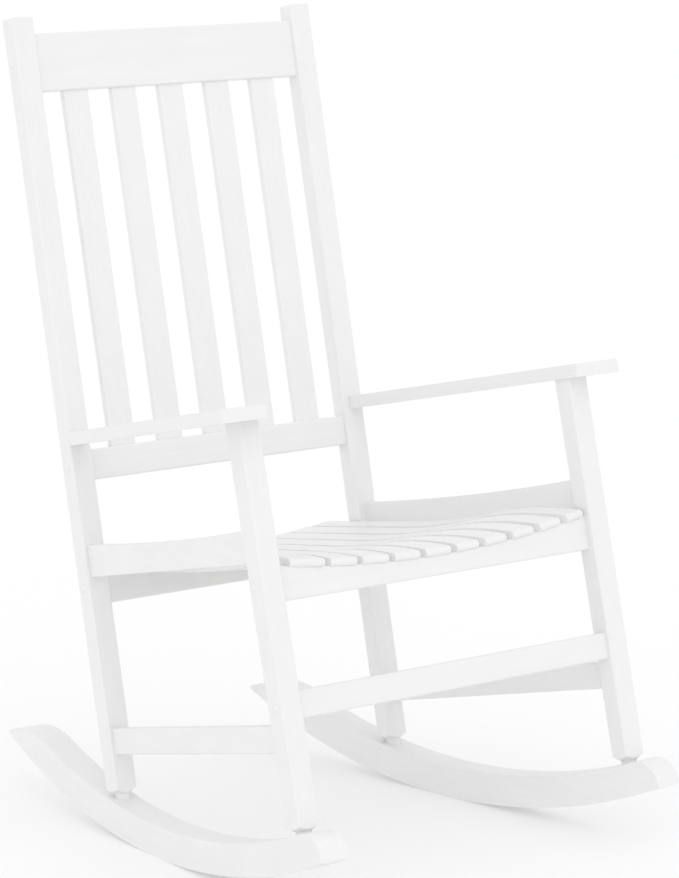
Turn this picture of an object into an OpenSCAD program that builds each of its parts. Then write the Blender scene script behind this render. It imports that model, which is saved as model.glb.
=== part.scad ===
// Porch rocking chair with a slatted back, a dished slatted seat, flat arms and bowed rockers.
// All sizes are in millimetres. "Left" is -X, and the chair faces -Y.
// The frame is drawn upright, with its back posts vertical, and is then leaned back onto its rockers.
// Upright frame: y = 0 is the front face of the back posts, z = 0 is their lower shoulder.

/* [Overall] */
// Length of the back posts above their lower shoulder
post_len = 1110; // [1000:5:1200]
// Width over the outer faces of the back posts
back_w = 540; // [480:2:600]
// Width over the outer faces of the front legs
front_w = 626; // [560:2:680]
// Distance from the front of the posts to the middle of the front legs
leg_run = 457; // [400:1:500]
// Lean of the back posts from upright, in degrees
recline = 12.3; // [9:0.1:15]
// Distance from the balance point of the rockers back to the front of the posts
post_stand = 116; // [90:0.5:140]

/* [Back posts and front legs] */
// Width of a back post, side to side
post_w = 36; // [30:0.5:45]
// Thickness of a back post, front to back
post_t = 27.5; // [24:0.5:36]
// Width of a front leg, side to side
leg_w = 34.5; // [30:0.5:45]
// Thickness of a front leg, front to back
leg_t = 31.5; // [26:0.5:40]
// Lean of a front leg from the line of the posts, in degrees
leg_tilt = 1.5; // [0:0.1:4]
// Radius of the eased edges of posts, legs and straight rails
edge_r = 3; // [1:0.5:5]
// Diameter of the round tenon under each post and leg
tenon_d = 22; // [16:1:26]
// Depth of the round tenon inside the rocker
tenon_depth = 28; // [20:1:34]
// Height of the bare neck between a shoulder and its rocker
neck_h = 13; // [6:1:20]
// Height of the turned taper from the square post to the neck
taper_h = 8; // [4:0.5:12]

/* [Rockers] */
// Radius of the rolling edge
rocker_r = 1015; // [900:5:1200]
// Depth of a rocker, from its top edge to its rolling edge
rocker_t = 46; // [38:1:56]
// Width of a rocker, side to side
rocker_w = 45; // [38:1:52]
// Length of a rocker, from tip to tip
rocker_len = 843; // [780:1:900]
// Radius of the rounded upper corner at the front tip
front_tip_r = 36; // [10:1:37]
// Radius of the long curve that runs down to the rear tip
rear_tip_r = 155; // [60:5:200]
// Height of the blunt end left at the rear tip
rear_tip_h = 4; // [2:0.5:8]

/* [Back] */
// Drop from the top of the posts to the top of the crest rail
crest_drop = 23.5; // [5:0.5:50]
// Height of the crest rail
crest_h = 84; // [60:1:110]
// Height of the lower back rail
low_rail_h = 44; // [34:1:60]
// Height of the lower edge of the lower back rail above the shoulder of the posts
low_rail_z = 442; // [420:1:480]
// Thickness of the crest rail and the lower back rail
back_rail_t = 19; // [17:0.5:21]
// Set-back of the back rails behind the front of the posts
back_inset = 5.5; // [2:0.5:6]
// Width of a back slat
back_slat_w = 43; // [30:1:50]
// Thickness of a back slat
back_slat_t = 10; // [8:0.5:12]
// Clear gap between two back slats
back_slat_gap = 42; // [20:0.5:46]
// Depth of a back slat's end in its rail
slat_mortise = 15; // [8:1:20]

/* [Seat frame] */
// Height of the lower edge of the side rails above the shoulder of the posts
side_rail_z = 305; // [300:1:312]
// Height of a side rail
side_rail_h = 46; // [40:1:60]
// Depth of the shallow dip in the top edge of a side rail
side_rail_dip = 6; // [0:0.5:10]
// Thickness of a side rail
side_rail_t = 16; // [14:0.5:20]
// Set-back of the side rails and side stretchers from the outer line of the frame
side_inset = 6; // [2:0.5:8]
// Thickness of the front and rear seat rails
seat_rail_t = 20; // [16:1:21]
// Height of the front seat rail at its ends
front_rail_h = 49; // [44:1:60]
// Height of the rear seat rail at its ends
rear_rail_h = 50; // [44:1:58]
// Set-back of the front seat rail from the front of the legs
front_rail_inset = 11.5; // [4:0.5:12]
// Set-back of the rear seat rail from the front of the posts
rear_rail_inset = 5; // [2:0.5:7]

/* [Seat slats] */
// Thickness of a seat slat
seat_slat_t = 12; // [10:0.5:16]
// Width of the four inner seat slats on the left
left_slat_w = 44; // [36:0.5:45]
// Width of the four inner seat slats on the right
right_slat_w = 40; // [34:0.5:41]
// Width of the leftmost seat slat
left_outer_w = 57; // [40:0.5:60]
// Width of the rightmost seat slat
right_outer_w = 33; // [26:0.5:33.5]
// Distance from the middle of the chair right to the middle gap, at the front edge
front_shift = 28; // [20:0.5:30]
// Distance from the middle of the chair right to the middle gap, at the rear edge
rear_shift = 22; // [18:0.5:22.5]
// Gap between the seat slats at the front edge
front_gap = 11.5; // [8:0.5:14]
// Gap between the seat slats at the rear edge
rear_gap = 3.8; // [2:0.2:6]
// Rise of the rightmost slat above the middle of the seat, at the front edge
front_dip = 17.5; // [6:0.5:20]
// Rise of the rightmost slat above the middle of the seat, at the rear edge
rear_dip = 12.5; // [6:0.5:18]
// Depth of a slat's shallow seat in the top of a rail
seat_depth = 0.8; // [0.5:0.1:2]
// Distance that the slats reach beyond the front seat rail
nose_reach = 5; // [2:0.5:12]
// Distance that the slats reach behind the front of the posts
tail_reach = 70; // [40:1:90]
// Slope of the rear part of the seat, in degrees
tail_slope = 5; // [2:0.5:8]
// Distance from the front of the posts to the lowest point of the seat
dish_y = 205; // [180:5:230]
// Radius of the dish in the seat
dish_r = 820; // [600:20:1200]
// Distance from the front of the posts to the crown of the seat
crown_y = 325; // [310:5:350]
// Radius of the crown behind the front edge of the seat
crown_r = 680; // [500:20:900]
// Height of the dish's lowest point, at the middle slats, above the shoulder of the posts
dish_z = 295.5; // [290:0.5:300]

/* [Arms] */
// Thickness of an arm
arm_t = 19; // [16:0.5:22]
// Height of an arm's underside at the posts, above their shoulder
arm_z = 494.5; // [480:0.5:540]
// Slope of an arm down towards the front, from square to the posts, in degrees
arm_slope = 0; // [0:0.1:6]
// Width of an arm where it meets the post
arm_rear_w = 22; // [18:1:28]
// Distance from the middle of the post out to the middle of the arm's rear end
arm_rear_shift = 3; // [0:0.5:4]
// Width of an arm over the front leg
arm_front_w = 80; // [60:1:100]
// Distance that an arm overhangs the outer face of the leg
arm_overhang = 42; // [15:1:50]
// Distance that an arm reaches beyond the front of the leg
arm_reach = 43; // [24:1:50]
// Distance that the curve of an arm's outer edge bulges beyond its straight part
arm_bulge = 6; // [0:1:10]
// Size of the clipped corners at the front of an arm
arm_clip = 21; // [10:1:30]
// Radius that softens each clipped corner
arm_corner_r = 9; // [3:1:14]

/* [Stretchers] */
// Height of a stretcher
stretcher_h = 38; // [30:1:44]
// Thickness of a stretcher
stretcher_t = 16; // [14:0.5:20]
// Height of the lower edge of the side stretchers above the shoulder of the posts
side_stretcher_z = 49; // [45:0.5:52]
// Height of the lower edge of the front stretcher above the shoulder of the posts
front_stretcher_z = 92; // [92:0.5:110]
// Set-back of the front stretcher from the front of the legs
front_stretcher_inset = 6; // [3:0.5:8]

/* [Fasteners] */
// Diameter of a dowel
dowel_d = 8; // [6:1:8]
// Length of a dowel
dowel_len = 36; // [30:1:38]
// Depth of a dowel in an arm
arm_dowel_depth = 12; // [8:1:12]
// Shank diameter of a frame screw
screw_d = 6; // [5:0.5:7]
// Length of a frame screw
screw_len = 68; // [60:1:80]
// Diameter of a frame screw's head
head_d = 10; // [9:0.5:10.5]
// Height of a frame screw's head
head_h = 4; // [3:0.5:5]
// Depth of the counterbore for a frame screw
counterbore = 9; // [8:0.5:11]
// Diameter of the domed cap of a button plug
plug_d = 13; // [12:0.5:15]
// Height of the domed cap of a button plug
plug_h = 2.5; // [1.5:0.5:4]
// Diameter of a headless brad in a seat slat
brad_d = 2; // [1.6:0.1:2.4]
// Length of a brad
brad_len = 26; // [22:1:28]
// Depth of a brad's top below the filled and painted surface of its slat
brad_sink = 1.5; // [1:0.5:3]
// Distance between the two brads at one end of a slat
brad_pitch = 18; // [12:1:20]
// Shank diameter of a rocker screw
rocker_screw_d = 5; // [4:0.5:6]
// Length of a rocker screw
rocker_screw_len = 60; // [50:1:70]
// Head diameter of a rocker screw
rocker_head_d = 10; // [8:0.5:11]
// Depth of a rocker screw's head inside the rolling edge
rocker_sink = 8; // [6:0.5:10]
// Clearance between a peg, screw or slat end and its hole, all round
fit = 0.1; // [0.05:0.05:0.3]
// Clearance at the bottom of a blind hole
end_gap = 1; // [0.5:0.5:2]
// Gap between a seat slat and its shallow seat on a rail
seat_fit = 0.1; // [0.05:0.05:0.3]

/* [Hidden] */
$fn = 96;
FINE = 720;
BACK_SLATS = 5;
SEAT_SLATS = 10;
WHITE = [0.93, 0.93, 0.91];
ZINC = [0.72, 0.73, 0.75];
BEECH = [0.82, 0.69, 0.50];
LEFT = -1;
RIGHT = 1;
SIDES = [LEFT, RIGHT];
FAR = 2000;
SLIM = 0.01;
SEAM = 0.003;
TIP_LAP = 0.2;
ARM_STEPS = 24;

// --- Plan of the frame: the outer lines of the sides run from the posts out to the front legs ---
leg_front = leg_run + leg_t / 2;
splay = (front_w - back_w) / 2 / leg_front;
splay_angle = atan(splay);
post_x = (back_w - post_w) / 2;
leg_x = (front_w - leg_w) / 2;
post_inner = back_w / 2 - post_w;
leg_inner = front_w / 2 - leg_w;
function outer_line(y) = back_w / 2 - splay * y;

// --- Rockers: the frame's shoulders stand on a circle one neck above the rockers' top edge ---
shoulder_r = rocker_r - rocker_t - neck_h;
post_mid_y = post_stand + post_t / 2 * cos(recline);
base_z = rocker_r - sqrt(pow(shoulder_r, 2) - pow(post_mid_y, 2)) + post_t / 2 * sin(recline);
// Centre of the rocker circle, seen from the upright frame
rock_y = -post_stand * cos(recline) - (rocker_r - base_z) * sin(recline);
rock_z = -post_stand * sin(recline) + (rocker_r - base_z) * cos(recline);
// The leg's middle line meets the shoulder circle here, measured down from z = 0 along the leg
leg_off_y = -leg_run - rock_y;
leg_b = leg_off_y * sin(leg_tilt) - rock_z * cos(leg_tilt);
leg_c = pow(leg_off_y, 2) + pow(rock_z, 2) - pow(shoulder_r, 2);
leg_drop = leg_b + sqrt(pow(leg_b, 2) - leg_c);
tip_angle = asin(rocker_len / 2 / rocker_r);

// --- Arms and seat heights that other pieces depend on ---
function arm_under(y) = arm_z + tan(arm_slope) * y;
leg_top = (arm_z - tan(arm_slope) * leg_run) / cos(leg_tilt);
seat_span = dish_y - crown_y;
crown_rise = (dish_r + crown_r) - sqrt(pow(dish_r + crown_r, 2) - pow(seat_span, 2));
crown_z = dish_z + crown_rise;
tail_start = dish_y - dish_r * sin(tail_slope);
tail_z = dish_z + dish_r * (1 - cos(tail_slope));
// Middle of each seat rail, and the underside of the middle slats there
front_rail_depth = -leg_t / 2 + front_rail_inset + seat_rail_t / 2;
front_rail_y = -leg_run + dish_z * tan(leg_tilt) + front_rail_depth;
rear_rail_y = rear_rail_inset + seat_rail_t / 2;
front_slope = asin((-front_rail_y - crown_y) / (crown_r - seat_slat_t));
front_seat_z = crown_z - crown_r + (crown_r - seat_slat_t) * cos(front_slope);
rear_seat_z = tail_z + (tail_start + rear_rail_y) * tan(tail_slope) - seat_slat_t / cos(tail_slope);
seat_rise_angle = atan((rear_seat_z - front_seat_z) / (rear_rail_y - front_rail_y));

// --- Places of the seat slats, counted from the left ---
function inner_width(side) = side == LEFT ? left_slat_w : right_slat_w;
function slat_side(i) = i < SEAT_SLATS / 2 ? LEFT : RIGHT;
function slat_width(i) =
    i == 0 ? left_outer_w : i == SEAT_SLATS - 1 ? right_outer_w : inner_width(slat_side(i));
function slat_x(i, shift, gap) =
    let(half = SEAT_SLATS / 2, side = slat_side(i), k = side == LEFT ? half - 1 - i : i - half)
    shift + side * (gap / 2 + k * (inner_width(side) + gap) + slat_width(i) / 2);
function slat_front_x(i) = slat_x(i, front_shift, front_gap);
function slat_rear_x(i) = slat_x(i, rear_shift, rear_gap);
front_dish = (pow(slat_front_x(SEAT_SLATS - 1), 2) + pow(front_dip, 2)) / (2 * front_dip);
rear_dish = (pow(slat_rear_x(SEAT_SLATS - 1), 2) + pow(rear_dip, 2)) / (2 * rear_dip);
function dish_rise(x, r) = r - sqrt(pow(r, 2) - pow(x, 2));
front_rail_z = front_seat_z + dish_rise(leg_inner, front_dish) - front_rail_h;
rear_rail_z = rear_seat_z + dish_rise(post_inner, rear_dish) - rear_rail_h;

// --- Places of the back slats ---
back_pitch = back_slat_w + back_slat_gap;
crest_z = post_len - crest_drop - crest_h;
low_rail_top = low_rail_z + low_rail_h;
back_mid_y = back_inset + back_rail_t / 2;

// ---------------------------------------------------------------- helpers
module rounded_rect(w, h, r) {
    square([w - 2 * r, h], center = true);
    square([w, h - 2 * r], center = true);
    for (x = [-1, 1], y = [-1, 1])
        translate([x * (w / 2 - r), y * (h / 2 - r)]) circle(r);
}

// An upright bar with eased long edges, centred on the z axis
module bar_z(w, d, h, r = edge_r) {
    linear_extrude(h) rounded_rect(w, d, r);
}

// A bar along x with eased long edges, centred in x and y, standing on z = 0
module bar_x(len, d, h, r = edge_r) {
    translate([-len / 2, 0, h / 2]) rotate([90, 0, 90]) linear_extrude(len) rounded_rect(d, h, r);
}

module rod(d, h) {
    cylinder(d = d, h = h);
}

// The whole frame leans back about the foot of the posts
module lean_back() {
    translate([0, post_stand, base_z]) rotate([-recline, 0, 0]) children();
}

module at_leg(side) {
    translate([side * leg_x, -leg_run, 0]) rotate([-leg_tilt, 0, 0]) children();
}

// Local frame of one side of the chair: x outward from the outer line of the frame, y along it
module at_side(side) {
    translate([side * back_w / 2, 0, 0]) rotate([0, 0, side * splay_angle])
        mirror([side < 0 ? 1 : 0, 0, 0]) children();
}

// The clear space between the front face of the posts and the back face of the legs
module between_post_and_leg() {
    low = -100;
    high = 700;
    back_face = -leg_run + leg_t / 2 / cos(leg_tilt);
    rotate([90, 0, 90]) translate([0, 0, -FAR / 2]) linear_extrude(FAR)
        polygon([[0, low], [0, high], [back_face + high * tan(leg_tilt), high],
                 [back_face + low * tan(leg_tilt), low]]);
}

// ---------------------------------------------------------------- fasteners and their holes
rail_mid = [crest_z + crest_h / 2, low_rail_z + low_rail_h / 2, rear_rail_z + rear_rail_h / 2];
rail_depth = [back_mid_y, back_mid_y, rear_rail_y];
leg_mid = [front_rail_z + front_rail_h / 2, front_stretcher_z + stretcher_h / 2];
stretcher_depth = -leg_t / 2 + front_stretcher_inset + stretcher_t / 2;
leg_depth = [front_rail_depth, stretcher_depth];
side_rail_mid = side_rail_z + side_rail_h / 2;
side_stretcher_mid = side_stretcher_z + stretcher_h / 2;

// A frame screw that runs inward along -x from the face of the wood at x = 0
module frame_screw() {
    translate([-counterbore, 0, 0]) rotate([0, -90, 0]) {
        rod(head_d, head_h);
        rod(screw_d, screw_len);
    }
}

module frame_screw_hole() {
    seat = counterbore + head_h;
    translate([-seat, 0, 0]) rotate([0, 90, 0]) rod(head_d + 2 * fit, seat + end_gap);
    translate([-counterbore, 0, 0]) rotate([0, -90, 0]) rod(screw_d + 2 * fit, screw_len + end_gap);
}

module post_screw_places(side) {
    for (i = [0 : len(rail_mid) - 1])
        translate([side * back_w / 2, rail_depth[i], rail_mid[i]])
            mirror([side < 0 ? 1 : 0, 0, 0]) children();
}

module leg_screw_places(side) {
    for (i = [0 : len(leg_mid) - 1])
        at_leg(side) translate([side * leg_w / 2, leg_depth[i], leg_mid[i]])
            mirror([side < 0 ? 1 : 0, 0, 0]) children();
}

module button_plug() {
    shank = counterbore - end_gap;
    dome_r = (pow(plug_d / 2, 2) + pow(plug_h, 2)) / (2 * plug_h);
    rotate([0, 90, 0]) {
        intersection() {
            translate([0, 0, plug_h - dome_r]) sphere(dome_r);
            rod(plug_d, plug_h);
        }
        translate([0, 0, -shank]) rod(head_d, shank + SLIM);
    }
}

// A dowel centred on the joint plane, with its axis along y
module dowel(grow = 0) {
    len = dowel_len + (grow > 0 ? 2 * end_gap : 0);
    translate([0, len / 2, 0]) rotate([90, 0, 0]) rod(dowel_d + 2 * grow, len);
}

// The two dowels at each end of a side rail (or side stretcher), one above the other
module side_dowel_places(side, mid, h) {
    depth = side_inset + side_rail_t / 2;
    for (end = [0, 1], step = [-1, 1]) {
        z = mid + step * h / 4;
        y = end * (-leg_run + z * tan(leg_tilt) + leg_t / 2);
        translate([side * (outer_line(y) - depth), y, z]) rotate([0, 0, side * splay_angle]) children();
    }
}

module arm_post_dowel_place(side) {
    translate([side * (post_x + arm_rear_shift), 0, arm_z + arm_t / 2]) children();
}

module arm_leg_dowel_places(side) {
    for (step = [-1, 1])
        at_leg(side) translate([0, step * leg_t / 5, leg_top]) children();
}

// A dowel that stands up out of the leg into the underside of the arm
module arm_leg_dowel(grow = 0) {
    gap = grow > 0 ? end_gap : 0;
    low = dowel_len - arm_dowel_depth;
    translate([0, 0, -low - gap]) rod(dowel_d + 2 * grow, dowel_len + 2 * gap);
}

// A screw driven up through the rocker into the end of a tenon, measured from the shoulder
tenon_end = neck_h + tenon_depth;
module rocker_screw(grow = 0) {
    rise = grow > 0 ? end_gap : 0;
    start = -neck_h - rocker_t + rocker_sink;
    head = rocker_head_d + 2 * grow;
    shank = rocker_screw_d + 2 * grow;
    translate([0, 0, start]) {
        cylinder(d1 = head, d2 = shank, h = (head - shank) / 2);
        rod(shank, rocker_screw_len + rise);
    }
    if (grow > 0) translate([0, 0, start - 2 * rocker_sink]) rod(head, 2 * rocker_sink);
}

// ---------------------------------------------------------------- posts and front legs
// A square shoulder turned down to a round tenon, just under z = 0
module turned_foot(w, d) {
    corner = sqrt(w * w + d * d) / 2;
    translate([0, 0, -taper_h]) intersection() {
        bar_z(w, d, taper_h);
        cylinder(r1 = tenon_d / 2, r2 = corner, h = taper_h);
    }
    translate([0, 0, -tenon_end]) rod(tenon_d, tenon_end);
}

module post(side) {
    difference() {
        union() {
            translate([side * post_x, post_t / 2, 0]) {
                intersection() {
                    bar_z(post_w, post_t, post_len);
                    translate([0, post_t / 2 + SLIM, post_len / 2 - edge_r]) rotate([90, 0, 0])
                        linear_extrude(post_t + 2 * SLIM) rounded_rect(post_w, post_len + 2 * edge_r, edge_r);
                }
                turned_foot(post_w, post_t);
            }
        }
        post_screw_places(side) frame_screw_hole();
        side_dowel_places(side, side_rail_mid, side_rail_h) dowel(fit);
        side_dowel_places(side, side_stretcher_mid, stretcher_h) dowel(fit);
        arm_post_dowel_place(side) dowel(fit);
        translate([side * post_x, post_t / 2, 0]) rocker_screw(fit);
    }
}

module front_leg(side) {
    difference() {
        at_leg(side) {
            translate([0, 0, -leg_drop]) bar_z(leg_w, leg_t, leg_drop + leg_top + arm_t);
            translate([0, 0, -leg_drop]) turned_foot(leg_w, leg_t);
        }
        above_arm_underside();
        leg_screw_places(side) frame_screw_hole();
        side_dowel_places(side, side_rail_mid, side_rail_h) dowel(fit);
        side_dowel_places(side, side_stretcher_mid, stretcher_h) dowel(fit);
        arm_leg_dowel_places(side) arm_leg_dowel(fit);
        at_leg(side) translate([0, 0, -leg_drop]) rocker_screw(fit);
    }
}

module in_arm_plane() {
    translate([0, 0, arm_z]) rotate([arm_slope, 0, 0]) children();
}

module above_arm_underside() {
    in_arm_plane() translate([-FAR / 2, -FAR / 2, 0]) cube([FAR, FAR, post_len]);
}

// ---------------------------------------------------------------- back
module back_slat_x(i) {
    translate([(i - (BACK_SLATS + 1) / 2) * back_pitch, 0, 0]) children();
}

module slat_end_mortise(z) {
    w = back_slat_w + 2 * fit;
    t = back_slat_t + 2 * fit;
    translate([-w / 2, back_mid_y - t / 2, z]) cube([w, t, slat_mortise + end_gap]);
}

module crest_rail() {
    color(WHITE) lean_back() difference() {
        translate([0, back_mid_y, crest_z]) bar_x(2 * post_inner, back_rail_t, crest_h);
        for (i = [1 : BACK_SLATS]) back_slat_x(i) slat_end_mortise(crest_z);
        for (side = SIDES) post_screw_places(side) frame_screw_hole();
    }
}

module lower_back_rail() {
    color(WHITE) lean_back() difference() {
        translate([0, back_mid_y, low_rail_z]) bar_x(2 * post_inner, back_rail_t, low_rail_h);
        for (i = [1 : BACK_SLATS]) back_slat_x(i) slat_end_mortise(low_rail_top - slat_mortise - end_gap);
        for (side = SIDES) post_screw_places(side) frame_screw_hole();
    }
}

module back_slat(i) {
    span = crest_z - low_rail_top + 2 * slat_mortise;
    color(WHITE) lean_back() back_slat_x(i)
        translate([0, back_mid_y, low_rail_top - slat_mortise])
            bar_z(back_slat_w, back_slat_t, span, edge_r / 2);
}

// ---------------------------------------------------------------- seat frame
// A cylinder along y whose lowest line is the dished top of a seat rail at (y, z). It lies above the
// undersides of the slats, which cut their own shallow seats into the rail.
module dish_cut(y, z, r, slope) {
    translate([0, y, z]) rotate([slope, 0, 0]) translate([0, FAR / 4, r])
        rotate([90, 0, 0]) cylinder(r = r, h = FAR / 2, $fn = FINE);
}

module front_seat_rail() {
    color(WHITE) lean_back() difference() {
        translate([0, -leg_run, 0]) rotate([-leg_tilt, 0, 0])
            translate([0, front_rail_depth, front_rail_z])
                bar_x(2 * leg_inner, seat_rail_t, front_rail_h + edge_r);
        dish_cut(front_rail_y, front_seat_z + seat_depth, front_dish, front_slope);
        slat_seats();
        for (side = SIDES) leg_screw_places(side) frame_screw_hole();
        all_brad_places() brad(fit);
    }
}

module rear_seat_rail() {
    color(WHITE) lean_back() difference() {
        translate([0, rear_rail_y, rear_rail_z]) bar_x(2 * post_inner, seat_rail_t, rear_rail_h + edge_r);
        dish_cut(rear_rail_y, rear_seat_z + seat_depth, rear_dish, tail_slope);
        slat_seats();
        for (side = SIDES) post_screw_places(side) frame_screw_hole();
        all_brad_places() brad(fit);
    }
}

module side_rail(side) {
    len = leg_run - leg_t / 2;
    dip_r = (pow(len / 2, 2) + pow(side_rail_dip, 2)) / (2 * side_rail_dip + SLIM);
    color(WHITE) lean_back() difference() {
        intersection() {
            at_side(side) translate([-side_inset - side_rail_t, -FAR / 4, side_rail_z])
                cube([side_rail_t, FAR / 2, side_rail_h]);
            between_post_and_leg();
        }
        at_side(side) translate([-FAR / 8, -len / 2, side_rail_z + side_rail_h - side_rail_dip + dip_r])
            rotate([0, 90, 0]) cylinder(r = dip_r, h = FAR / 8, $fn = FINE);
        side_dowel_places(side, side_rail_mid, side_rail_h) dowel(fit);
    }
}

module side_stretcher(side) {
    depth = side_inset + stretcher_t / 2;
    color(WHITE) lean_back() difference() {
        intersection() {
            at_side(side) translate([-depth, FAR / 4, side_stretcher_mid]) rotate([90, 0, 0])
                linear_extrude(FAR / 2) rounded_rect(stretcher_t, stretcher_h, edge_r);
            between_post_and_leg();
        }
        side_dowel_places(side, side_stretcher_mid, stretcher_h) dowel(fit);
    }
}

module front_stretcher() {
    color(WHITE) lean_back() difference() {
        translate([0, -leg_run, 0]) rotate([-leg_tilt, 0, 0])
            translate([0, stretcher_depth, front_stretcher_z])
                bar_x(2 * leg_inner, stretcher_t, stretcher_h);
        for (side = SIDES) leg_screw_places(side) frame_screw_hole();
    }
}

// ---------------------------------------------------------------- seat slats
// Side outline of a slat: straight tail, dish, crown and a rounded nose; y is the first axis
module slat_outline() {
    crown_c = crown_z - crown_r;
    dish_c = dish_z + dish_r;
    turn = asin((crown_y - dish_y) / (dish_r + crown_r));
    nose_y = -front_rail_y + seat_rail_t / 2 + nose_reach - seat_slat_t / 2;
    mid_r = crown_r - seat_slat_t / 2;
    nose_turn = asin((nose_y - crown_y) / mid_r);
    // Tail
    translate([-tail_start, tail_z]) rotate(tail_slope) translate([0, -seat_slat_t])
        square([(tail_reach + tail_start) / cos(tail_slope), seat_slat_t]);
    // Dish
    translate([-dish_y, dish_c]) intersection() {
        difference() {
            circle(dish_r + seat_slat_t, $fn = FINE);
            circle(dish_r, $fn = FINE);
        }
        pie(-90 - turn - SEAM, -90 + tail_slope + SEAM, 2 * dish_r);
    }
    // Crown
    translate([-crown_y, crown_c]) intersection() {
        difference() {
            circle(crown_r, $fn = FINE);
            circle(crown_r - seat_slat_t, $fn = FINE);
        }
        pie(90 - turn, 90 + nose_turn, 2 * crown_r);
    }
    // Nose
    translate([-nose_y, crown_c + mid_r * cos(nose_turn)]) circle(seat_slat_t / 2);
}

module pie(from, to, r) {
    polygon([[0, 0], [r * cos(from), r * sin(from)], [r * cos(to), r * sin(to)]]);
}

// Stands a slat drawn along the middle of the chair in its own place, fanned and rolled with the dish
module at_slat(i) {
    x_front = slat_front_x(i);
    x_rear = slat_rear_x(i);
    run = rear_rail_y - front_rail_y;
    fan = atan((x_front - x_rear) / run);
    roll = (asin(x_front / front_dish) + asin(x_rear / rear_dish)) / 2;
    lift = dish_rise(x_front, front_dish);
    pitch = atan((dish_rise(x_rear, rear_dish) - lift) / run);
    translate([x_front, front_rail_y, front_seat_z + lift]) rotate([pitch, 0, fan])
        rotate(a = -roll, v = [0, cos(seat_rise_angle), sin(seat_rise_angle)])
            translate([0, -front_rail_y, -front_seat_z]) children();
}

module slat_bar(w) {
    rotate([90, 0, 90]) translate([0, 0, -w / 2]) linear_extrude(w) slat_outline();
}

module seat_slat(i) {
    color(WHITE) lean_back() at_slat(i) difference() {
        slat_bar(slat_width(i));
        brad_places() brad(fit);
    }
}

// The shallow flats that the seat rails have under the slats
module slat_seats() {
    for (i = [0 : SEAT_SLATS - 1])
        at_slat(i) translate([0, 0, -seat_fit]) slat_bar(slat_width(i) + 2 * fit);
}

// A headless brad that points down from a slat's top surface at z = 0
module brad(grow = 0) {
    deep = grow > 0 ? end_gap : 0;
    translate([0, 0, -brad_sink - brad_len - deep]) rod(brad_d + 2 * grow, brad_len + grow + deep);
}

// The brads of one slat, square to its surface over the middle of each seat rail
module brad_places() {
    for (step = [-1, 1]) {
        translate([step * brad_pitch / 2, front_rail_y, front_seat_z]) rotate([front_slope, 0, 0])
            translate([0, 0, seat_slat_t]) children();
        translate([step * brad_pitch / 2, rear_rail_y, rear_seat_z]) rotate([tail_slope, 0, 0])
            translate([0, 0, seat_slat_t]) children();
    }
}

module all_brad_places() {
    for (i = [0 : SEAT_SLATS - 1]) at_slat(i) brad_places() children();
}

// ---------------------------------------------------------------- arms
arm_outer = front_w / 2 + arm_overhang;
arm_inner = arm_outer - arm_front_w;
arm_front = -leg_front + leg_top * tan(leg_tilt) - arm_reach;

function bezier(a, b, c, d, t) =
    pow(1 - t, 3) * a + 3 * t * pow(1 - t, 2) * b + 3 * t * t * (1 - t) * c + pow(t, 3) * d;
function curve(a, b, c, d, n) = [for (k = [0 : n]) bezier(a, b, c, d, k / n)];
// Points of a rounded corner of radius r at p, between its neighbours a and b
function corner(a, p, b, r, n = 8) =
    let(u = (a - p) / norm(a - p), v = (b - p) / norm(b - p), half = acos(u * v) / 2,
        m = (u + v) / norm(u + v), c = p + m * r / sin(half), s = p + u * r / tan(half) - c,
        turn = (180 - 2 * half) * sign(s[0] * m[1] - s[1] * m[0]) * -1)
    [for (k = [0 : n]) let(q = turn * k / n)
        c + [s[0] * cos(q) - s[1] * sin(q), s[0] * sin(q) + s[1] * cos(q)]];

// Plan of the right arm: a narrow butt at the post, an outward sweep and a clipped front
module arm_outline() {
    rear = SLIM + arm_t;
    rear_x = post_x + arm_rear_shift;
    outer_rear = [rear_x + arm_rear_w / 2, rear];
    inner_rear = [rear_x - arm_rear_w / 2, rear];
    a = [arm_outer, arm_front + arm_clip];
    b = [arm_outer - arm_clip, arm_front];
    c = [arm_inner + arm_clip, arm_front];
    d = [arm_inner, arm_front + arm_clip];
    sweep = arm_front / 4;
    straight = [0, sweep / 2];
    outer = curve(outer_rear, outer_rear + [arm_overhang, sweep],
                  [arm_outer + arm_bulge, 2 * sweep], a - straight, ARM_STEPS);
    inner = curve(d - straight, [arm_inner, 2.8 * sweep],
                  inner_rear + [arm_rear_shift, 1.1 * sweep], inner_rear, ARM_STEPS);
    polygon(concat(outer, corner(outer[ARM_STEPS], a, b, arm_corner_r), corner(a, b, c, arm_corner_r),
                   corner(b, c, d, arm_corner_r), corner(c, d, inner[0], arm_corner_r), inner));
}

module arm(side) {
    color(WHITE) lean_back() difference() {
        intersection() {
            mirror([side < 0 ? 1 : 0, 0, 0]) in_arm_plane() linear_extrude(arm_t) arm_outline();
            translate([-FAR / 2, -FAR, 0]) cube([FAR, FAR, post_len]);
        }
        arm_post_dowel_place(side) dowel(fit);
        arm_leg_dowel_places(side) arm_leg_dowel(fit);
    }
}

// ---------------------------------------------------------------- rockers
rocker_top_r = rocker_r - rocker_t;
// Angle from the start of the long rear curve to the tip, from the triangle of the three radii
rear_curve_r = rocker_top_r + rear_tip_r - TIP_LAP;
rear_tip_end_r = rocker_r - rear_tip_h;
rear_tip_angle = acos((pow(rear_tip_end_r, 2) + pow(rear_curve_r, 2) - pow(rear_tip_r, 2))
                      / (2 * rear_tip_end_r * rear_curve_r));

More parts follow.
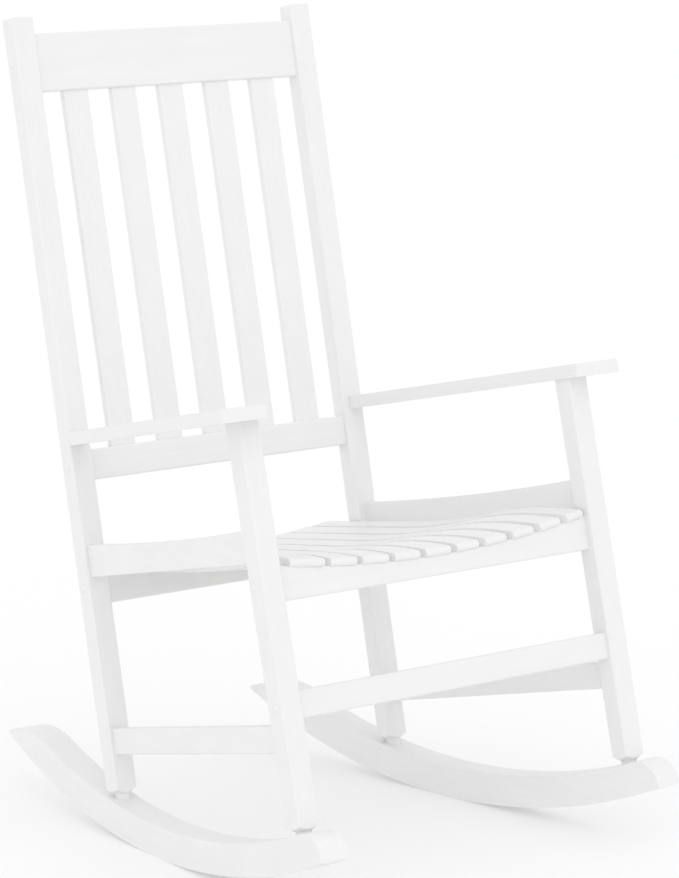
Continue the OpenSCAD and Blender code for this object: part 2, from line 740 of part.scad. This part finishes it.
// Side outline of a rocker about the middle of its circle: first axis to the back, second axis up
module rocker_outline() {
    difference() {
        intersection() {
            difference() {
                circle(rocker_r, $fn = FINE);
                circle(rocker_top_r, $fn = FINE);
            }
            pie(-90 - tip_angle, -90 + tip_angle, 2 * rocker_r);
        }
        rotate(-90 - tip_angle) translate([0, front_tip_r]) mirror([0, 1]) outside_corner(front_tip_r);
        rotate(-90 + tip_angle - rear_tip_angle) outside_corner(rear_tip_r);
    }
}

// What a rounded upper corner of radius r takes off the rocker, starting on the first axis.
// The corner laps the top edge a little, so that the two curves cross and don't just touch.
module outside_corner(r) {
    translate([rocker_top_r + r - TIP_LAP, 0]) difference() {
        translate([-2 * r, 0]) square([2 * r, 2 * r]);
        circle(r, $fn = FINE);
    }
}

// The rocker runs under the feet of its post and its leg
foot_post = [post_x, post_stand + post_t / 2 * cos(recline)];
leg_foot_y = -leg_run - leg_drop * sin(leg_tilt);
leg_foot_z = -leg_drop * cos(leg_tilt);
foot_leg = [leg_x, post_stand + leg_foot_y * cos(recline) + leg_foot_z * sin(recline)];
toe_out = atan((foot_leg[0] - foot_post[0]) / (foot_post[1] - foot_leg[1]));
rocker_mid_x = post_x + (leg_x - post_x) * foot_post[1] / (foot_post[1] - foot_leg[1]);

module rocker(side) {
    color(WHITE) difference() {
        translate([side * rocker_mid_x, 0, rocker_r]) rotate([0, 0, side * toe_out])
            rotate([90, 0, 90]) translate([0, 0, -rocker_w / 2])
                linear_extrude(rocker_w) rocker_outline();
        lean_back() {
            translate([side * post_x, post_t / 2, 0]) foot_hole();
            at_leg(side) translate([0, 0, -leg_drop]) foot_hole();
        }
    }
}

module foot_hole() {
    translate([0, 0, -tenon_end - end_gap]) rod(tenon_d + 2 * fit, tenon_end + end_gap);
    rocker_screw(fit);
}

// ---------------------------------------------------------------- named pieces
module left_post() { color(WHITE) lean_back() post(LEFT); }
module right_post() { color(WHITE) lean_back() post(RIGHT); }
module left_front_leg() { color(WHITE) lean_back() front_leg(LEFT); }
module right_front_leg() { color(WHITE) lean_back() front_leg(RIGHT); }
module left_side_rail() { side_rail(LEFT); }
module right_side_rail() { side_rail(RIGHT); }
module left_side_stretcher() { side_stretcher(LEFT); }
module right_side_stretcher() { side_stretcher(RIGHT); }
module left_arm() { arm(LEFT); }
module right_arm() { arm(RIGHT); }
module left_rocker() { rocker(LEFT); }
module right_rocker() { rocker(RIGHT); }

module post_screws() {
    color(ZINC) lean_back() for (side = SIDES) post_screw_places(side) frame_screw();
}

module leg_screws() {
    color(ZINC) lean_back() for (side = SIDES) leg_screw_places(side) frame_screw();
}

module button_plugs() {
    color(WHITE) lean_back() for (side = SIDES) {
        post_screw_places(side) button_plug();
        leg_screw_places(side) button_plug();
    }
}

module rocker_screws() {
    color(ZINC) lean_back() for (side = SIDES) {
        translate([side * post_x, post_t / 2, 0]) rocker_screw();
        at_leg(side) translate([0, 0, -leg_drop]) rocker_screw();
    }
}

module seat_slat_brads() {
    color(ZINC) lean_back() all_brad_places() brad();
}

module side_rail_dowels() {
    color(BEECH) lean_back() for (side = SIDES) side_dowel_places(side, side_rail_mid, side_rail_h) dowel();
}

module side_stretcher_dowels() {
    color(BEECH) lean_back() for (side = SIDES)
        side_dowel_places(side, side_stretcher_mid, stretcher_h) dowel();
}

module arm_dowels() {
    color(BEECH) lean_back() for (side = SIDES) {
        arm_post_dowel_place(side) dowel();
        arm_leg_dowel_places(side) arm_leg_dowel();
    }
}

left_post();
right_post();
left_front_leg();
right_front_leg();
crest_rail();
lower_back_rail();
back_slat(1);  // back_slat_1
back_slat(2);  // back_slat_2
back_slat(3);  // back_slat_3
back_slat(4);  // back_slat_4
back_slat(5);  // back_slat_5
rear_seat_rail();
front_seat_rail();
left_side_rail();
right_side_rail();
seat_slat(0);  // seat_slat_1
seat_slat(1);  // seat_slat_2
seat_slat(2);  // seat_slat_3
seat_slat(3);  // seat_slat_4
seat_slat(4);  // seat_slat_5
seat_slat(5);  // seat_slat_6
seat_slat(6);  // seat_slat_7
seat_slat(7);  // seat_slat_8
seat_slat(8);  // seat_slat_9
seat_slat(9);  // seat_slat_10
left_arm();
right_arm();
front_stretcher();
left_side_stretcher();
right_side_stretcher();
left_rocker();
right_rocker();
post_screws();
leg_screws();
button_plugs();
rocker_screws();
seat_slat_brads();
side_rail_dowels();
side_stretcher_dowels();
arm_dowels();
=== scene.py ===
"""Visual model of a white painted porch rocking chair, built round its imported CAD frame."""

import math

import bpy
from mathutils import Matrix, Vector

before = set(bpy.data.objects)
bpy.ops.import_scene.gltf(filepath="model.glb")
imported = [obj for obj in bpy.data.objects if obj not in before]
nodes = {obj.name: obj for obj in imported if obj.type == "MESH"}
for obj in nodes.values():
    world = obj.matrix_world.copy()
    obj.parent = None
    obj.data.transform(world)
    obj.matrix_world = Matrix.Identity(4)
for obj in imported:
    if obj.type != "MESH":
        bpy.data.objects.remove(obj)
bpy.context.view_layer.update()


def outward(azimuth, elevation):
    """Unit vector away from the chair, azimuth degrees round from its front and elevation degrees up."""
    a = math.radians(azimuth)
    e = math.radians(elevation)
    return Vector((math.sin(a) * math.cos(e), -math.cos(a) * math.cos(e), math.sin(e)))


# ---------------------------------------------------------------- camera
CAMERA_AZIMUTH = -39.06
CAMERA_ELEVATION = 9.84
CAMERA_DISTANCE = 5.4746
# Height of the point that the camera would look at without its two slides
AIM_HEIGHT = 0.55
# Slides of the camera along its own right and its own up
SLIDE_RIGHT = 0.0345
SLIDE_UP = 0.0139
# Sensor along the picture's longer side and focal length, in millimetres
SENSOR = 36
LENS = 157.6


def make_camera():
    back = outward(CAMERA_AZIMUTH, CAMERA_ELEVATION)
    right = Vector((0, 0, 1)).cross(back).normalized()
    up = back.cross(right)
    camera = bpy.data.objects.new("camera", bpy.data.cameras.new("camera"))
    bpy.context.collection.objects.link(camera)
    turn = Matrix((right, up, back)).transposed().to_4x4()
    aim = Vector((0, 0, AIM_HEIGHT))
    place = aim + back * CAMERA_DISTANCE + right * SLIDE_RIGHT + up * SLIDE_UP
    camera.matrix_world = Matrix.Translation(place) @ turn
    camera.data.sensor_width = SENSOR
    camera.data.lens = LENS
    bpy.context.scene.camera = camera


# ---------------------------------------------------------------- steps that the materials share
def new_material(name):
    material = bpy.data.materials.new(name)
    material.use_nodes = True
    tree = material.node_tree
    return material, tree, tree.nodes["Principled BSDF"]


def object_coordinates(tree):
    return tree.nodes.new("ShaderNodeTexCoord").outputs["Object"]


def noise(tree, coords, scale, detail, stretch=(1, 1, 1), turn=0):
    """Noise from 0 to 1. Its coordinates are stretched, and after that turned about X."""
    mapping = tree.nodes.new("ShaderNodeMapping")
    mapping.inputs["Scale"].default_value = stretch
    mapping.inputs["Rotation"].default_value = (turn, 0, 0)
    texture = tree.nodes.new("ShaderNodeTexNoise")
    texture.inputs["Scale"].default_value = scale
    texture.inputs["Detail"].default_value = detail
    tree.links.new(coords, mapping.inputs["Vector"])
    tree.links.new(mapping.outputs["Vector"], texture.inputs["Vector"])
    return texture.outputs["Fac"]


def spread(tree, value, low, high, to_low, to_high):
    """The value, with the range low to high carried over to the range to_low to to_high."""
    step = tree.nodes.new("ShaderNodeMapRange")
    step.inputs["From Min"].default_value = low
    step.inputs["From Max"].default_value = high
    step.inputs["To Min"].default_value = to_low
    step.inputs["To Max"].default_value = to_high
    tree.links.new(value, step.inputs["Value"])
    return step.outputs["Result"]


def colour_socket(sockets, name):
    return [socket for socket in sockets if socket.name == name and socket.type == "RGBA"][0]


def tint(tree, share, first, second):
    """A mix of two colours or colour sockets, from the first at share 0 to the second at share 1."""
    mix = tree.nodes.new("ShaderNodeMix")
    mix.data_type = "RGBA"
    tree.links.new(share, mix.inputs["Factor"])
    for name, colour in (("A", first), ("B", second)):
        target = colour_socket(mix.inputs, name)
        if isinstance(colour, tuple):
            target.default_value = (*colour, 1)
        else:
            tree.links.new(colour, target)
    return colour_socket(mix.outputs, "Result")


def times(tree, first, second):
    product = tree.nodes.new("ShaderNodeMath")
    product.operation = "MULTIPLY"
    tree.links.new(first, product.inputs[0])
    tree.links.new(second, product.inputs[1])
    return product.outputs["Value"]


def times_plus(tree, value, factor, addend):
    total = tree.nodes.new("ShaderNodeMath")
    total.operation = "MULTIPLY_ADD"
    tree.links.new(value, total.inputs[0])
    total.inputs[1].default_value = factor
    tree.links.new(addend, total.inputs[2])
    return total.outputs["Value"]


def bump(tree, height, strength, distance, under=None):
    """The surface's normal with the height's relief, distance metres deep, on top of the one under it."""
    node = tree.nodes.new("ShaderNodeBump")
    node.inputs["Strength"].default_value = strength
    node.inputs["Distance"].default_value = distance
    tree.links.new(height, node.inputs["Height"])
    if under is not None:
        tree.links.new(under, node.inputs["Normal"])
    return node.outputs["Normal"]


# ---------------------------------------------------------------- white paint
# The most that a board's pattern is shifted by along X, Y and Z
BOARD_SHIFT = (7, 5, 3)
# Colours: the two tones of the coat, soft bands, lines over the grain, a duller board, a worn edge
COAT_GREY = (0.846, 0.848, 0.846)
COAT_PALE = (0.872, 0.872, 0.869)
BAND = (0.832, 0.832, 0.827)
GRAIN_LINE = (0.806, 0.806, 0.797)
DULL_BOARD = (0.836, 0.838, 0.838)
WORN_EDGE = (0.725, 0.720, 0.700)
# Scales of the patterns: the bands' as a share of the grain's, the others in waves per metre
BAND_SCALE = 0.22
MOTTLE_SCALE = 14
RUB_SCALE = 75
PEEL_SCALE = 900
# How far in from an edge the paint is worn, in metres
WORN_REACH = 0.0016
# Roughness of the coat's two tones, and what a worn edge adds to it
ROUGH_GREY = 0.36
ROUGH_PALE = 0.46
ROUGH_WORN = 0.18


def board_coordinates(tree):
    """Object coordinates with a shift of each board's own, and the board's random share from 0 to 1."""
    coords = object_coordinates(tree)
    chance = tree.nodes.new("ShaderNodeObjectInfo").outputs["Random"]
    shift = tree.nodes.new("ShaderNodeVectorMath")
    shift.operation = "SCALE"
    shift.inputs[0].default_value = BOARD_SHIFT
    tree.links.new(chance, shift.inputs["Scale"])
    total = tree.nodes.new("ShaderNodeVectorMath")
    total.operation = "ADD"
    tree.links.new(coords, total.inputs[0])
    tree.links.new(shift.outputs["Vector"], total.inputs[1])
    return total.outputs["Vector"], chance


def edge_share(tree):
    """0 on flat faces, rising to 1 along edges, where the rounded normal leaves the face's own."""
    rounded = tree.nodes.new("ShaderNodeBevel")
    rounded.samples = 4
    rounded.inputs["Radius"].default_value = WORN_REACH
    flat = tree.nodes.new("ShaderNodeNewGeometry")
    likeness = tree.nodes.new("ShaderNodeVectorMath")
    likeness.operation = "DOT_PRODUCT"
    tree.links.new(rounded.outputs["Normal"], likeness.inputs[0])
    tree.links.new(flat.outputs["Normal"], likeness.inputs[1])
    return spread(tree, likeness.outputs["Value"], 0.995, 0.86, 0, 1)


def paint(name, grain_scale, turn):
    """Satin white paint on wood whose grain runs along the axis that grain_scale leaves small."""
    material, tree, shader = new_material(name)
    coords, chance = board_coordinates(tree)
    grain = noise(tree, coords, scale=1, detail=6, stretch=grain_scale, turn=turn)
    broad = noise(tree, coords, BAND_SCALE, detail=3, stretch=grain_scale, turn=turn)
    mottle = noise(tree, coords, MOTTLE_SCALE, detail=3)
    peel = noise(tree, coords, PEEL_SCALE, detail=2)
    rubs = noise(tree, coords, RUB_SCALE, detail=4)

    coat = spread(tree, mottle, 0.3, 0.7, 0, 1)
    bands = spread(tree, broad, 0.35, 0.65, 0, 0.5)
    lines = spread(tree, grain, 0.38, 0.68, 0, 0.40)
    dullness = spread(tree, chance, 0, 1, 0, 0.35)
    worn = times(tree, edge_share(tree), spread(tree, rubs, 0.42, 0.62, 0.15, 1))

    colour = tint(tree, coat, COAT_GREY, COAT_PALE)
    colour = tint(tree, bands, colour, BAND)
    colour = tint(tree, lines, colour, GRAIN_LINE)
    colour = tint(tree, dullness, colour, DULL_BOARD)
    colour = tint(tree, spread(tree, worn, 0, 1, 0, 0.42), colour, WORN_EDGE)
    tree.links.new(colour, shader.inputs["Base Color"])

    gloss = spread(tree, coat, 0, 1, ROUGH_GREY, ROUGH_PALE)
    tree.links.new(times_plus(tree, worn, ROUGH_WORN, gloss), shader.inputs["Roughness"])

    raised_grain = bump(tree, grain, strength=0.5, distance=0.00022)
    wavy_coat = bump(tree, mottle, strength=0.3, distance=0.0006, under=raised_grain)
    orange_peel = bump(tree, peel, strength=0.25, distance=0.00005, under=wavy_coat)
    tree.links.new(orange_peel, shader.inputs["Normal"])
    return material


# ---------------------------------------------------------------- zinc and beech
ZINC_DARK = (0.66, 0.67, 0.70)
ZINC_PALE = (0.78, 0.79, 0.80)
BEECH_DARK = (0.66, 0.50, 0.32)
BEECH_PALE = (0.80, 0.66, 0.46)


def zinc():
    material, tree, shader = new_material("zinc_plate")
    patches = noise(tree, object_coordinates(tree), scale=260, detail=3)
    tree.links.new(tint(tree, patches, ZINC_DARK, ZINC_PALE), shader.inputs["Base Color"])
    shader.inputs["Metallic"].default_value = 1
    tree.links.new(spread(tree, patches, 0.3, 0.7, 0.28, 0.44), shader.inputs["Roughness"])
    return material


def beech():
    material, tree, shader = new_material("bare_beech")
    fibre = noise(tree, object_coordinates(tree), scale=1, detail=4, stretch=(600, 40, 600))
    tree.links.new(tint(tree, fibre, BEECH_DARK, BEECH_PALE), shader.inputs["Base Color"])
    shader.inputs["Roughness"].default_value = 0.7
    return material


# ---------------------------------------------------------------- which piece gets what
# Waves of the grain in a metre across and along a board
ACROSS = 260
ALONG = 9
# The turn comes after the stretch: it changes the pattern and leaves the grain along a world axis
PATTERN_TURN = math.radians(12.3)
CROSSWISE = ("crest_rail", "lower_back_rail", "front_seat_rail", "rear_seat_rail", "front_stretcher")

# Widths, in metres, of the eased edges that the CAD pieces leave sharp
SLAT_EDGE = 0.0022
ARM_EDGE = 0.0030
RAIL_EDGE = 0.0020
ROCKER_EDGE = 0.0018

paint_upright = paint("white_paint_upright", (ACROSS, ACROSS, ALONG), PATTERN_TURN)
paint_crosswise = paint("white_paint_crosswise", (ALONG, ACROSS, ACROSS), 0)
paint_lengthwise = paint("white_paint_lengthwise", (ACROSS, ALONG, ACROSS), PATTERN_TURN)
zinc_plate = zinc()
bare_beech = beech()


def finish_for(name):
    if "screws" in name or "brads" in name:
        return zinc_plate
    if "dowels" in name:
        return bare_beech
    if "post" in name or "leg" in name or "back_slat" in name or name == "button_plugs":
        return paint_upright
    if name in CROSSWISE:
        return paint_crosswise
    return paint_lengthwise


def edge_for(name):
    """Width of the eased edges that a CAD piece leaves sharp, or 0."""
    if name.startswith("seat_slat_") and name != "seat_slat_brads":
        return SLAT_EDGE
    if name.endswith("_arm"):
        return ARM_EDGE
    if name.endswith("_rocker"):
        return ROCKER_EDGE
    if name.endswith("_side_rail"):
        return RAIL_EDGE
    return 0


def ease_edges(piece, width):
    bevel = piece.modifiers.new("eased_edges", "BEVEL")
    bevel.width = width
    bevel.segments = 3
    bevel.limit_method = "ANGLE"
    bevel.angle_limit = math.radians(40)
    bevel.use_clamp_overlap = False
    bevel.harden_normals = False


def finish_pieces():
    for name, piece in nodes.items():
        for slot in piece.material_slots:
            slot.material = finish_for(name)
        if edge_for(name):
            ease_edges(piece, edge_for(name))


# ---------------------------------------------------------------- floor and light
FLOOR_REACH = 60
# A little light of its own keeps the floor as pale as studio paper
FLOOR_GREY = 0.72
FLOOR_GLOW = 0.24
SKY_STRENGTH = 0.95


def make_floor():
    r = FLOOR_REACH
    mesh = bpy.data.meshes.new("floor")
    mesh.from_pydata([(-r, -r, 0), (r, -r, 0), (r, r, 0), (-r, r, 0)], [], [(0, 1, 2, 3)])
    floor = bpy.data.objects.new("floor", mesh)
    bpy.context.collection.objects.link(floor)
    material, _, shader = new_material("pale_floor")
    shader.inputs["Base Color"].default_value = (FLOOR_GREY, FLOOR_GREY, FLOOR_GREY, 1)
    shader.inputs["Emission Color"].default_value = (1, 1, 1, 1)
    shader.inputs["Emission Strength"].default_value = FLOOR_GLOW
    shader.inputs["Roughness"].default_value = 0.9
    shader.inputs["Specular IOR Level"].default_value = 0.1
    mesh.materials.append(material)


def sun(name, azimuth, elevation, strength, softness):
    light = bpy.data.objects.new(name, bpy.data.lights.new(name, "SUN"))
    light.data.energy = strength
    light.data.angle = math.radians(softness)
    light.rotation_euler = outward(azimuth, elevation).to_track_quat("Z", "Y").to_euler()
    bpy.context.collection.objects.link(light)


def light_studio():
    sun("key", azimuth=-8, elevation=48, strength=0.30, softness=60)
    sun("fill", azimuth=-75, elevation=30, strength=0.20, softness=90)
    world = bpy.data.worlds.new("studio")
    world.use_nodes = True
    sky = world.node_tree.nodes["Background"]
    sky.inputs["Color"].default_value = (1, 1, 1, 1)
    sky.inputs["Strength"].default_value = SKY_STRENGTH
    bpy.context.scene.world = world
    bpy.context.scene.view_settings.view_transform = "Standard"


make_camera()
finish_pieces()
make_floor()
light_studio()
